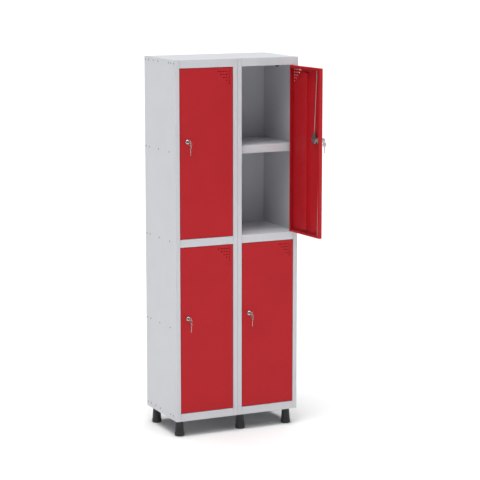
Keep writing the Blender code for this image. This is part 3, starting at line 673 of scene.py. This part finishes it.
def hinge_pins(height):
    """The upper pin, and the lower pin with the collar that carries the door."""
    upper, lower = bmesh.new(), bmesh.new()
    upper_end = height + PIN_LENGTH
    upper_profile = [
        (0.0, height - SHEET / 2),
        (PIN_RADIUS, height - SHEET / 2),
        (PIN_RADIUS, upper_end - PIN_CHAMFER),
        (PIN_RADIUS - PIN_CHAMFER, upper_end),
        (0.0, upper_end),
    ]
    lower_profile = [
        (0.0, -PIN_LENGTH),
        (PIN_RADIUS - PIN_CHAMFER, -PIN_LENGTH),
        (PIN_RADIUS, -PIN_LENGTH + PIN_CHAMFER),
        (PIN_RADIUS, -COLLAR_HEIGHT),
        (COLLAR_RADIUS, -COLLAR_HEIGHT),
        (COLLAR_RADIUS, SHEET / 2),
        (0.0, SHEET / 2),
    ]
    add_turned(upper, upper_profile, PIN_SEGMENTS)
    add_turned(lower, lower_profile, PIN_SEGMENTS)
    return upper, lower


def make_door_pan(door, materials):
    """The door folded from one sheet: rounded edges, a turned-in lip, vent holes and hinge pins."""
    matrix = hinge_matrix(door)
    bottom, top = door_heights(door)
    height = top - bottom
    lock = matrix.inverted() @ lock_matrix(door).translation
    # All four doors are alike, and a closed one's boxes give the lock's distance from the free edge.
    lock_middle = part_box(f"{CLOSED_DOOR}_lock_cylinder")[0].x + BEZEL_RADIUS
    free_edge = lock.x - (lock_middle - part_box(f"{CLOSED_DOOR}_door_pan")[0].x)
    low = Vector((free_edge, -HINGE_INSET, 0.0))
    high = Vector((HINGE_INSET, DOOR_THICKNESS - HINGE_INSET, height))
    wall = Vector((SHEET, SHEET, SHEET))
    inset = SHEET + DOOR_LIP
    mouth_low = (low.x + inset, high.y - SHEET - CUT_PAST, inset)
    mouth_high = (high.x - inset, high.y + CUT_PAST, height - inset)
    upper, lower = hinge_pins(height)
    steps = [
        ("DIFFERENCE", rounded_box(low + wall, high - wall, BEND_RADIUS - SHEET)),
        ("DIFFERENCE", rounded_box(mouth_low, mouth_high, 0.0)),
        ("DIFFERENCE", skin_holes(height, lock.x, lock.z)),
        ("DIFFERENCE", rod_slots(height, lock.x)),
        ("UNION", upper),
        ("UNION", lower),
    ]
    base = rounded_box(low, high, BEND_RADIUS)
    pan = combined(f"{door}_folded_door", base, steps, materials["red_paint"])
    place(pan, matrix)
    put(pan, f"{door}_door", "red_paint", f"{door}_door_pan")


def rivet_lines():
    """By module, (height, depths) of each line: under the lid, the shelves and the two floors."""
    lines = {}
    for column in ("left", "right"):
        sheets = (
            (f"{column}_module_top_panel", RIVET_DEPTHS + TOP_RIVET_DEPTHS),
            (f"{column}_module_base", RIVET_DEPTHS + BASE_RIVET_DEPTHS),
            (f"{column}_module_middle_floor", RIVET_DEPTHS),
            (f"{column}_lower_inner_shelf", RIVET_DEPTHS),
            (f"{column}_upper_inner_shelf", RIVET_DEPTHS),
        )
        lines[column] = []
        for node, depths in sheets:
            lines[column].append((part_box(node)[1].z - RIVET_BELOW_SHEET, depths))
    return lines


def make_hook(door, materials):
    """A moulded garment hook: a round flange with a blended stem, a curl and a ball tip."""
    node = f"{door}_garment_hook"
    low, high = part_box(node)
    wire = HOOK_WIRE_RADIUS
    flange = HOOK_PLATE_THICKNESS
    middle_y = (low.y + high.y) / 2
    stem_x = low.x + HOOK_PLATE_RADIUS
    bend = (high.x - wire - stem_x) / 2
    centre_x = stem_x + bend
    centre_z = low.z + wire + bend
    path = [Vector((stem_x, middle_y, high.z - flange / 2))]
    for step in range(HOOK_STEPS + 1):
        turn = math.pi * (1 + step / HOOK_STEPS)
        x = centre_x + bend * math.cos(turn)
        path.append(Vector((x, middle_y, centre_z + bend * math.sin(turn))))
    path.append(Vector((centre_x + bend, middle_y, centre_z + HOOK_TIP_RISE)))
    shape = bmesh.new()
    add_tube(shape, path, wire, steps=HOOK_SEGMENTS)
    stem = to_object(f"{door}_moulded_hook", shape, materials["black_plastic"], 60.0)
    profile = [(0.0, -flange - HOOK_FILLET[0][1])]
    profile += [(wire + out, -flange - below) for out, below in HOOK_FILLET]
    profile += [
        (HOOK_PLATE_RADIUS - HOOK_PLATE_EDGE, -flange),
        (HOOK_PLATE_RADIUS, -flange + HOOK_PLATE_EDGE),
        (HOOK_PLATE_RADIUS, 0.0),
        (0.0, 0.0),
    ]
    shape = bmesh.new()
    add_turned(shape, profile, HOOK_FLANGE_SEGMENTS)
    plate = to_object(f"{door}_hook_flange", shape, materials["black_plastic"], 50.0)
    place(plate, Matrix.Translation((stem_x, middle_y, high.z)))
    ball = [(0.0, -wire)]
    for step in range(1, HOOK_BALL_STEPS):
        turn = math.pi * step / HOOK_BALL_STEPS
        ball.append((wire * math.sin(turn), -wire * math.cos(turn)))
    ball.append((0.0, wire))
    shape = bmesh.new()
    add_turned(shape, ball, HOOK_SEGMENTS)
    tip = to_object(f"{door}_hook_tip", shape, materials["black_plastic"], 80.0)
    place(tip, Matrix.Translation(path[-1]))
    put(join([stem, plate, tip]), "cabinet", "black_plastic", node)


def make_side_rivets(materials):
    """Low domed rivets on the two outer side walls, coloured dark as painted shade for the shaded marks there."""
    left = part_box("left_module_left_side_panel")[0]
    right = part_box("right_module_right_side_panel")[1]
    dome = [(RIVET_RADIUS, 0.0)]
    for step in range(1, RIVET_STEPS):
        turn = math.pi / 2 * step / RIVET_STEPS
        dome.append((RIVET_RADIUS * math.cos(turn), RIVET_HEIGHT * math.sin(turn)))
    dome += [(0.0, RIVET_HEIGHT), (0.0, -SHEET / 2), (RIVET_RADIUS, -SHEET / 2)]
    for column, x, side in (("left", left.x, -1), ("right", right.x, 1)):
        outward = Matrix.Rotation(math.radians(90 * side), 4, "Y")
        rivets = []
        for height, depths in rivet_lines()[column]:
            for depth in depths:
                shape = bmesh.new()
                add_turned(shape, dome, 16)
                painted_shade_rivet = to_object(f"{column}_side_rivets", shape, materials["rivet_painted_shade"], 50.0)
                place(painted_shade_rivet, Matrix.Translation((x, left.y + depth, height)) @ outward)
                rivets.append(painted_shade_rivet)
        put(join(rivets), "cabinet", "grey_paint")


def make_lock_face(door, materials):
    """The dark face of the plug around the key, and the nut that holds the cylinder in the door."""
    matrix = lock_matrix(door)
    slot_x = KEY_THICKNESS / 2 + KEY_PLAY
    slot_z = KEY_NECK + KEY_PLAY
    keyway = [(-slot_x, -slot_z), (slot_x, -slot_z), (slot_x, slot_z), (-slot_x, slot_z)]
    upright = Matrix.Rotation(math.radians(90), 4, "X")
    face = flat_piece(
        f"{door}_plug_face",
        [circle(PLUG_RADIUS), keyway],
        PLUG_FACE_THICKNESS,
        PLUG_FACE_EDGE,
        materials["dark_steel"],
    )
    front = -SKIN_TO_LOCK_FACE + PLUG_FACE_INSET
    place(face, matrix @ Matrix.Translation((0.0, front, 0.0)) @ upright)
    put(face, f"{door}_lock", "zinc_steel")
    nut = flat_piece(
        f"{door}_lock_nut",
        [circle(NUT_RADIUS, steps=6), circle(BARREL_RADIUS)],
        NUT_BACK - NUT_FRONT,
        NUT_EDGE,
        materials["zinc_steel"],
    )
    middle = (NUT_FRONT + NUT_BACK) / 2
    place(nut, matrix @ Matrix.Translation((0.0, middle, 0.0)) @ upright)
    put(nut, f"{door}_door", "zinc_steel")


def arc(centre, radius, start, end, steps):
    """Points along an arc, with its start and end in degrees."""
    points = []
    for step in range(steps + 1):
        turn = math.radians(start + (end - start) * step / steps)
        x = centre[0] + radius * math.cos(turn)
        points.append((x, centre[1] + radius * math.sin(turn)))
    return points


def key_outline(bow, radius, half, end, cuts):
    """A key along +X: the round bow about (bow, 0), the neck and a blade with cuts in one edge."""
    meet = math.degrees(math.asin(half / radius))
    outline = arc((bow, 0.0), radius, meet, 360 - meet, KEY_BOW_STEPS)
    shoulder = bow + radius + KEY_SHOULDER
    blade_end = end - KEY_TIP
    outline += [(shoulder, -half), (blade_end, -half), (end, -half + KEY_TIP), (end, half - KEY_TIP)]
    outline.append((blade_end, half))
    pitch = (blade_end - shoulder - KEY_SHOULDER) / max(cuts, 1)
    for i in range(cuts):
        x = blade_end - pitch * (i + CUT_SHARE)
        depth = half * (CUT_SHARE + CUT_SHARE * (i * 2 % 3))
        outline += [
            (x, half),
            (x - pitch * CUT_SHARE, half - depth),
            (x - pitch * CUT_SHARE * 2, half - depth),
            (x - pitch * CUT_SHARE * 3, half),
        ]
    return outline


def make_key(door, materials):
    """The inserted key: X of its outline runs into the lock."""
    outline = key_outline(KEY_BOW_CENTRE, KEY_BOW_RADIUS, KEY_NECK, KEY_END, 0)
    hole = circle(KEY_HOLE_RADIUS, (KEY_HOLE, 0.0), KEY_HOLE_SEGMENTS)
    finish = materials["nickel_brass"]
    key = flat_piece(f"{door}_cut_key", [outline, hole], KEY_THICKNESS, KEY_EDGE, finish)
    into_lock = Matrix(((0, 0, 1, 0), (1, 0, 0, 0), (0, 1, 0, 0), (0, 0, 0, 1)))
    place(key, lock_matrix(door) @ into_lock)
    put(key, f"{door}_lock", "nickel_brass", f"{door}_key")


def make_key_ring(door, materials):
    """A split ring of two turns side by side, and the spare key hanging from it."""
    finish = materials["nickel_brass"]
    shape = bmesh.new()
    for side in (-1, 1):
        path = []
        for step in range(RING_STEPS):
            turn = 2 * math.pi * step / RING_STEPS
            x = RING_RADIUS * math.cos(turn)
            z = RING_RADIUS * (math.sin(turn) - 1)
            path.append(Vector((x, side * RING_WIRE * RING_TURN_OFFSET, z)))
        add_tube(shape, path, RING_WIRE * RING_TURN_RADIUS, closed=True)
    ring = to_object(f"{door}_split_ring", shape, finish, 60.0)
    drop = 2 * RING_RADIUS
    outline = key_outline(
        drop + SPARE_BOW_DROP, SPARE_BOW_RADIUS, SPARE_BLADE, SPARE_DROP, SPARE_CUTS
    )
    hole_x = drop + KEY_HOLE_RADIUS * SPARE_HOLE_DROP
    hole = circle(KEY_HOLE_RADIUS, (hole_x, 0.0), KEY_HOLE_SEGMENTS)
    spare = flat_piece(f"{door}_spare", [outline, hole], KEY_THICKNESS, KEY_EDGE, finish)
    downward = Matrix(((0, 0, 1, 0), (0, 1, 0, 0), (-1, 0, 0, 0), (0, 0, 0, 1)))
    place(spare, downward)
    both = join([ring, spare])
    place(both, lock_matrix(door) @ Matrix.Translation((0.0, KEY_HOLE, 0.0)))
    put(both, f"{door}_ring", "nickel_brass", f"{door}_key_ring")


def plate_with_slot(name, outline, side, material):
    """The cam end of a rod: a plate in the XZ plane with the slot that a cam pin works in."""
    near = PIN_ORBIT_SIDE - PIN_PLAY
    far = PIN_ORBIT + PIN_PLAY
    height = -side * PIN_ORBIT_SIDE
    slot = [
        (side * near, height - PIN_PLAY),
        (side * far, height - PIN_PLAY),
        (side * far, height + PIN_PLAY),
        (side * near, height + PIN_PLAY),
    ]
    plate = flat_piece(name, [outline, slot], ROD_PLATE, ROD_PLATE_EDGE, material)
    upright = Matrix.Rotation(math.radians(90), 4, "X")
    return place(plate, Matrix.Translation((0.0, ROD_DEPTH, 0.0)) @ upright)


def make_rods(door, materials):
    """The locking rods as thin round bars, each with its flat cam plate."""
    matrix = lock_matrix(door)
    axis_z = matrix.translation.z
    upper_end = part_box(f"{door}_upper_rod")[1].z - axis_z
    lower_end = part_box(f"{door}_lower_rod")[0].z - axis_z
    upper_path = [(0.0, upper_end), (0.0, upper_end - ROD_STRAIGHT), UPPER_ROD_START]
    lower_path = [
        LOWER_ROD_START,
        (LOWER_ROD_SIDE, lower_end + ROD_STRAIGHT),
        (LOWER_ROD_SIDE, lower_end),
    ]
    ends = (
        ("upper", "up", 1, UPPER_PLATE, upper_path, "dark_steel"),
        ("lower", "down", -1, LOWER_PLATE, lower_path, "zinc_steel"),
    )
    for name, way, side, outline, path, finish in ends:
        body = f"{door}_rod_{way}"
        shape = bmesh.new()
        add_tube(shape, [Vector((x, ROD_DEPTH, z)) for x, z in path], ROD_RADIUS)
        rod = to_object(f"{door}_{name}_round_rod", shape, materials["zinc_steel"], 50.0)
        place(rod, matrix)
        put(rod, body, "zinc_steel", f"{door}_{name}_rod")
        plate = plate_with_slot(f"{door}_{name}_cam_plate", outline, side, materials[finish])
        place(plate, matrix)
        put(plate, body, "zinc_steel")


def make_rod_guides(door, materials):
    """Short bushes that guide the rods inside the door's upper and lower edges."""
    matrix = lock_matrix(door)
    bottom, top = door_heights(door)
    inner = ROD_RADIUS + GUIDE_PLAY
    profile = [
        (inner, 0.0),
        (GUIDE_RADIUS - GUIDE_EDGE, 0.0),
        (GUIDE_RADIUS, GUIDE_EDGE),
        (GUIDE_RADIUS, GUIDE_HEIGHT - GUIDE_EDGE),
        (GUIDE_RADIUS - GUIDE_EDGE, GUIDE_HEIGHT),
        (inner, GUIDE_HEIGHT),
    ]
    places = (
        ("upper", 0.0, top - GUIDE_GAP - GUIDE_HEIGHT),
        ("lower", LOWER_ROD_SIDE, bottom + GUIDE_GAP),
    )
    for name, x, z in places:
        shape = bmesh.new()
        add_turned(shape, profile, 24)
        guide = to_object(f"{door}_{name}_rod_guide", shape, materials["zinc_steel"], 30.0)
        height = z - matrix.translation.z
        place(guide, matrix @ Matrix.Translation((x, ROD_DEPTH, height)))
        put(guide, f"{door}_door", "zinc_steel")


def make_stiffener_welds(door, materials):
    """Small raised spot welds along the two flanges of the door's stiffener."""
    matrix = lock_matrix(door)
    low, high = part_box(f"{door}_door_stiffener")
    axis = matrix.translation
    hingeward = matrix.to_3x3() @ Vector((1.0, 0.0, 0.0))
    corners = [Vector((x, y, 0)) for x in (low.x, high.x) for y in (low.y, high.y)]
    reach = [(corner - axis).dot(hingeward) for corner in corners]
    middle = (min(reach) + max(reach)) / 2
    count = int((high.z - low.z) / WELD_PITCH)
    dome = [
        (WELD_RADIUS, -WELD_ROOT),
        (WELD_RADIUS, 0.0),
        (WELD_RADIUS * WELD_SHOULDER[0], WELD_HEIGHT * WELD_SHOULDER[1]),
        (0.0, WELD_HEIGHT),
        (0.0, -WELD_ROOT),
    ]
    inward = Matrix.Rotation(math.radians(-90), 4, "X")
    welds = []
    for x in (middle - FLANGE_MIDDLE, middle + FLANGE_MIDDLE):
        for i in range(count + 1):
            z = low.z + WELD_END + i * (high.z - low.z - 2 * WELD_END) / count - axis.z
            shape = bmesh.new()
            add_turned(shape, dome, 12)
            weld = to_object(f"{door}_stiffener_welds", shape, materials["red_paint"], 60.0)
            place(weld, matrix @ Matrix.Translation((x, FLANGE_FACE, z)) @ inward)
            welds.append(weld)
    put(join(welds), f"{door}_door", "red_paint")


# ---------------------------------------------------------------- stage

def make_floor():
    shape = bmesh.new()
    bmesh.ops.create_grid(shape, x_segments=1, y_segments=1, size=FLOOR_HALF_WIDTH)
    material = bpy.data.materials.new("pale_floor")
    material.use_nodes = True
    shader = material.node_tree.nodes["Principled BSDF"]
    shader.inputs["Base Color"].default_value = (FLOOR_SHADE, FLOOR_SHADE, FLOOR_SHADE, 1.0)
    shader.inputs["Roughness"].default_value = FLOOR_ROUGHNESS
    floor = to_object("studio_floor", shape, material)
    floor.location.z = CAD_BOX[0][2]


def add_sun(name, height, side, strength, width):
    data = bpy.data.lights.new(name, "SUN")
    data.energy = strength
    data.angle = math.radians(width)
    light = bpy.data.objects.new(name, data)
    bpy.context.scene.collection.objects.link(light)
    level = math.cos(math.radians(height))
    turn = math.radians(side)
    fall = -math.sin(math.radians(height))
    shining = Vector((math.sin(turn) * level, math.cos(turn) * level, fall))
    light.rotation_euler = shining.to_track_quat("-Z", "Y").to_euler()


def make_world():
    """A dim sky over a bright horizon."""
    world = bpy.data.worlds.new("studio")
    world.use_nodes = True
    tree = world.node_tree
    coordinates = tree.nodes.new("ShaderNodeTexCoord")
    split = tree.nodes.new("ShaderNodeSeparateXYZ")
    ramp = tree.nodes.new("ShaderNodeMapRange")
    ramp.inputs["From Min"].default_value = HORIZON_BAND[0]
    ramp.inputs["From Max"].default_value = HORIZON_BAND[1]
    ramp.inputs["To Min"].default_value = HORIZON_STRENGTH
    ramp.inputs["To Max"].default_value = SKY_STRENGTH
    background = tree.nodes["Background"]
    background.inputs["Color"].default_value = (1.0, 1.0, 1.0, 1.0)
    link(tree, coordinates, "Generated", split, "Vector")
    link(tree, split, "Z", ramp, "Value")
    link(tree, ramp, "Result", background, "Strength")
    bpy.context.scene.world = world


def make_stage():
    make_floor()
    make_world()
    for name, sizes in SUNS.items():
        add_sun(name, *sizes)
    scene = bpy.context.scene
    scene.view_settings.view_transform = "Standard"
    camera_data = bpy.data.cameras.new("camera")
    camera_data.lens = CAMERA_LENS
    camera_data.sensor_width = CAMERA_SENSOR
    camera = bpy.data.objects.new("camera", camera_data)
    scene.collection.objects.link(camera)
    camera.location = CAMERA_PLACE
    camera.rotation_euler = CAMERA_TURN
    scene.camera = camera


def main():
    materials = make_materials()
    dress_cad_nodes(materials)
    for door in DOORS:
        make_shelf(door, materials)
        make_hook(door, materials)
        make_door_pan(door, materials)
        make_lock_face(door, materials)
        make_key(door, materials)
        make_key_ring(door, materials)
        make_rods(door, materials)
        make_rod_guides(door, materials)
        make_stiffener_welds(door, materials)
    for node in sorted(name for name in NODES if name.endswith("_foot")):
        make_foot(node, materials)
    make_side_rivets(materials)
    make_stage()


main()
